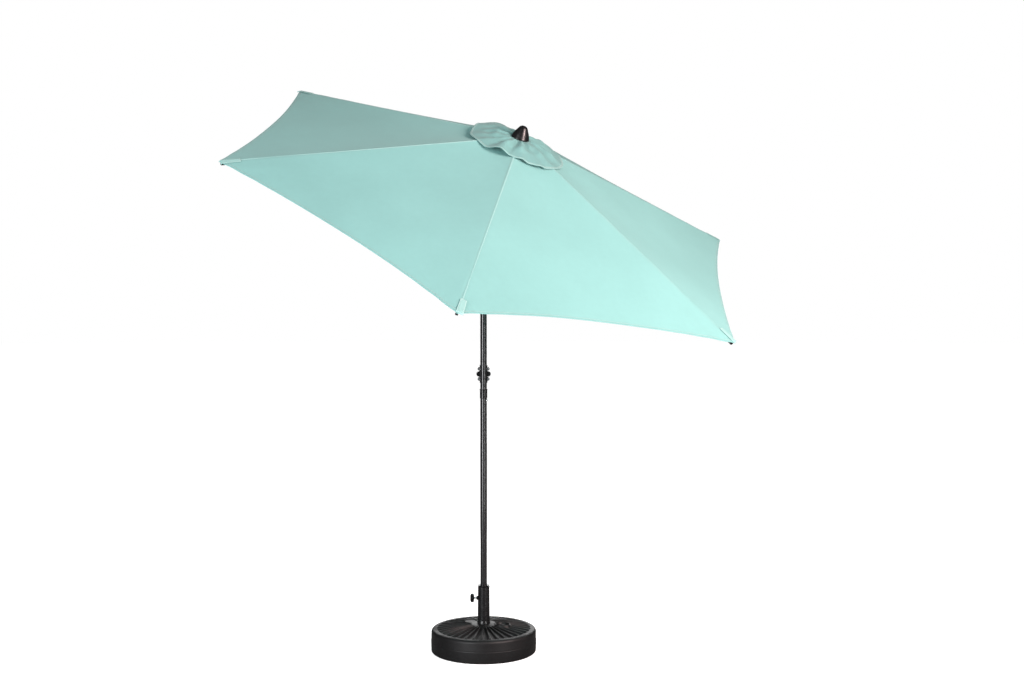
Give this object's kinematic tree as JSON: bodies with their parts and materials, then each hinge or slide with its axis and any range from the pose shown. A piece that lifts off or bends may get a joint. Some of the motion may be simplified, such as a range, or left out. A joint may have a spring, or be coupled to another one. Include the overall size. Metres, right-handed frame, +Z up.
{
  "type": "patio umbrella with base",
  "caption": "Market-style patio umbrella with a vented fabric canopy, push-button tilt, crank lift and two-piece mast, standing in a round fillable moulded base with a clamp screw.",
  "frame": {"origin": "centre of the base's flat underside, on the mast's axis", "axes": "+Z up along the mast; the canopy leans down towards +X, about a tilt pin along Y"},
  "size_m": [2.1592, 2.5906, 2.7368],
  "materials": {
    "base_plastic": "blow-moulded black polyethylene with a fine pebble",
    "trim_plastic": "satin black moulded plastic",
    "finial_plastic": "glossy black moulded plastic",
    "mast_paint": "glossy dark grey powder coat on steel tube",
    "rib_paint": "satin dark powder coat on steel",
    "zinc_steel": "zinc-plated fastener steel",
    "button_steel": "polished steel",
    "canopy_cloth": "matt woven polyester, aqua"
  },
  "bodies": {
    "base": {"base_shell": "base_plastic", "sleeve": "base_plastic", "sleeve_collar": "trim_plastic", "mast_cup": "trim_plastic"},
    "filler_cap": {"filler_cap": "base_plastic"},
    "clamp_screw": {"clamp_stud": "zinc_steel", "clamp_knob": "trim_plastic"},
    "mast": {"lower_pole": "mast_paint", "pole_foot": "trim_plastic", "joint_collar": "trim_plastic", "upper_pole": "mast_paint", "snap_spring": "zinc_steel", "crank_housing": "trim_plastic", "crank_cover": "trim_plastic", "case_screws": "zinc_steel", "tilt_yoke": "trim_plastic", "tilt_pin": "zinc_steel", "tilt_spring": "zinc_steel"},
    "snap_button": {"snap_button": "button_steel"},
    "crank": {"crank_spindle": "trim_plastic", "crank_arm": "mast_paint"},
    "crank_grip": {"crank_grip": "trim_plastic"},
    "tilt_button": {"tilt_button": "trim_plastic"},
    "head": {"tilt_knuckle": "trim_plastic", "top_pole": "mast_paint", "pulley_pin": "zinc_steel", "top_hub": "trim_plastic", "hub_pins": "zinc_steel", "finial": "finial_plastic", "canopy": "canopy_cloth", "vent_flap": "canopy_cloth"},
    "lift_pulley": {"lift_pulley": "trim_plastic"},
    "runner": {"runner": "trim_plastic", "runner_pins": "zinc_steel"},
    "rib_1": {"rib_1": "rib_paint", "rib_tip_1": "trim_plastic"},
    "strut_1": {"strut_1": "rib_paint", "strut_pin_1": "zinc_steel"},
    "rib_2": {"rib_2": "rib_paint", "rib_tip_2": "trim_plastic"},
    "strut_2": {"strut_2": "rib_paint", "strut_pin_2": "zinc_steel"},
    "rib_3": {"rib_3": "rib_paint", "rib_tip_3": "trim_plastic"},
    "strut_3": {"strut_3": "rib_paint", "strut_pin_3": "zinc_steel"},
    "rib_4": {"rib_4": "rib_paint", "rib_tip_4": "trim_plastic"},
    "strut_4": {"strut_4": "rib_paint", "strut_pin_4": "zinc_steel"},
    "rib_5": {"rib_5": "rib_paint", "rib_tip_5": "trim_plastic"},
    "strut_5": {"strut_5": "rib_paint", "strut_pin_5": "zinc_steel"},
    "rib_6": {"rib_6": "rib_paint", "rib_tip_6": "trim_plastic"},
    "strut_6": {"strut_6": "rib_paint", "strut_pin_6": "zinc_steel"}
  },
  "joints": [
    {"name": "mast_swivel", "type": "hinge", "parent": "base", "child": "mast", "pos_m": [0, 0, 0.3], "axis": [0, 0, 1], "continuous": true},
    {"name": "clamp_screw_turn", "type": "hinge", "parent": "base", "child": "clamp_screw", "pos_m": [0, 0, 0.251], "axis": [-0.6088, -0.7934, 0], "range_deg": [0, 1080]},
    {"name": "filler_cap_turn", "type": "hinge", "parent": "base", "child": "filler_cap", "pos_m": [0.06971, 0.05849, 0.12], "axis": [0, 0, 1], "range_deg": [0, 720]},
    {"name": "snap_button_press", "type": "slide", "parent": "mast", "child": "snap_button", "axis": [-0.8829, -0.4695, 0], "range_m": [0, 0.0035], "stiffness_N_per_m": 1500, "springref_m": -0.002, "deforming": ["snap_spring"]},
    {"name": "tilt_button_press", "type": "slide", "parent": "mast", "child": "tilt_button", "axis": [1, 0, 0], "range_m": [0, 0.005], "stiffness_N_per_m": 900, "springref_m": -0.003, "deforming": ["tilt_spring"]},
    {"name": "canopy_tilt", "type": "hinge", "parent": "mast", "child": "head", "pos_m": [0, 0, 1.933], "axis": [0, -1, 0], "range_deg": [0, 30.2]},
    {"name": "canopy_fold", "type": "hinge", "parent": "head", "child": "rib_1", "pos_m": [0.29498, 0.01134, 2.374], "axis": [-0.28, 0.9461, 0.1629], "range_deg": [0, 69.31], "deforming": ["canopy", "vent_flap"]},
    {"name": "strut_1_pivot", "type": "hinge", "parent": "rib_1", "child": "strut_1", "pos_m": [0.44425, 0.08184, 2.22111], "axis": [-0.28, 0.9461, 0.1629], "range_deg": [-138.62, 0]},
    {"name": "runner_pivot", "type": "hinge", "parent": "strut_1", "child": "runner", "pos_m": [0.23758, 0.01134, 2.27538], "axis": [-0.28, 0.9461, 0.1629], "range_deg": [0, 69.31]},
    {"name": "rib_2_fold", "type": "hinge", "parent": "head", "child": "rib_2", "pos_m": [0.27218, 0.03435, 2.38726], "axis": [-0.8481, 0.1925, 0.4936], "range_deg": [0, 69.31]},
    {"name": "strut_2_pivot", "type": "hinge", "parent": "rib_2", "child": "strut_2", "pos_m": [0.2797, 0.24792, 2.31688], "axis": [-0.8481, 0.1925, 0.4936], "range_deg": [-138.62, 0]},
    {"name": "rib_3_fold", "type": "hinge", "parent": "head", "child": "rib_3", "pos_m": [0.24357, 0.02301, 2.40392], "axis": [-0.5682, -0.7536, 0.3307], "range_deg": [0, 69.31]},
    {"name": "strut_3_pivot", "type": "hinge", "parent": "rib_3", "child": "strut_3", "pos_m": [0.07312, 0.16608, 2.43711], "axis": [-0.5682, -0.7536, 0.3307], "range_deg": [-138.62, 0]},
    {"name": "rib_4_fold", "type": "hinge", "parent": "head", "child": "rib_4", "pos_m": [0.23774, -0.01134, 2.40731], "axis": [0.28, -0.9461, -0.1629], "range_deg": [0, 69.31]},
    {"name": "strut_4_pivot", "type": "hinge", "parent": "rib_4", "child": "strut_4", "pos_m": [0.03108, -0.08184, 2.46158], "axis": [0.28, -0.9461, -0.1629], "range_deg": [-138.62, 0]},
    {"name": "rib_5_fold", "type": "hinge", "parent": "head", "child": "rib_5", "pos_m": [0.26054, -0.03435, 2.39404], "axis": [0.8481, -0.1925, -0.4936], "range_deg": [0, 69.31]},
    {"name": "strut_5_pivot", "type": "hinge", "parent": "rib_5", "child": "strut_5", "pos_m": [0.19562, -0.24792, 2.36581], "axis": [0.8481, -0.1925, -0.4936], "range_deg": [-138.62, 0]},
    {"name": "rib_6_fold", "type": "hinge", "parent": "head", "child": "rib_6", "pos_m": [0.28915, -0.02301, 2.37738], "axis": [0.5682, 0.7536, -0.3307], "range_deg": [0, 69.31]},
    {"name": "strut_6_pivot", "type": "hinge", "parent": "rib_6", "child": "strut_6", "pos_m": [0.40221, -0.16608, 2.24558], "axis": [0.5682, 0.7536, -0.3307], "range_deg": [-138.62, 0]},
    {"name": "lift_pulley_spin", "type": "hinge", "parent": "head", "child": "lift_pulley", "pos_m": [0.23719, 0, 2.34052], "axis": [0, 1, 0], "range_deg": [0, 2080.36]},
    {"name": "crank_turn", "type": "hinge", "parent": "mast", "child": "crank", "pos_m": [0, 0, 1.317], "axis": [-0.7986, 0.6018, 0], "range_deg": [0, 2496.23]},
    {"name": "crank_grip_spin", "type": "hinge", "parent": "crank", "child": "crank_grip", "pos_m": [0, 0, 1.229], "axis": [-0.7986, 0.6018, 0], "continuous": true}
  ],
  "couplings": [
    {"joint": "rib_2_fold", "follows": "canopy_fold", "ratio": 1},
    {"joint": "rib_3_fold", "follows": "canopy_fold", "ratio": 1},
    {"joint": "rib_4_fold", "follows": "canopy_fold", "ratio": 1},
    {"joint": "rib_5_fold", "follows": "canopy_fold", "ratio": 1},
    {"joint": "rib_6_fold", "follows": "canopy_fold", "ratio": 1},
    {"joint": "strut_1_pivot", "follows": "canopy_fold", "ratio": -2},
    {"joint": "strut_2_pivot", "follows": "canopy_fold", "ratio": -2},
    {"joint": "strut_3_pivot", "follows": "canopy_fold", "ratio": -2},
    {"joint": "strut_4_pivot", "follows": "canopy_fold", "ratio": -2},
    {"joint": "strut_5_pivot", "follows": "canopy_fold", "ratio": -2},
    {"joint": "strut_6_pivot", "follows": "canopy_fold", "ratio": -2},
    {"joint": "runner_pivot", "follows": "canopy_fold", "ratio": 1},
    {"joint": "lift_pulley_spin", "follows": "canopy_fold", "ratio": 30},
    {"joint": "crank_turn", "follows": "canopy_fold", "ratio": 36}
  ]
}
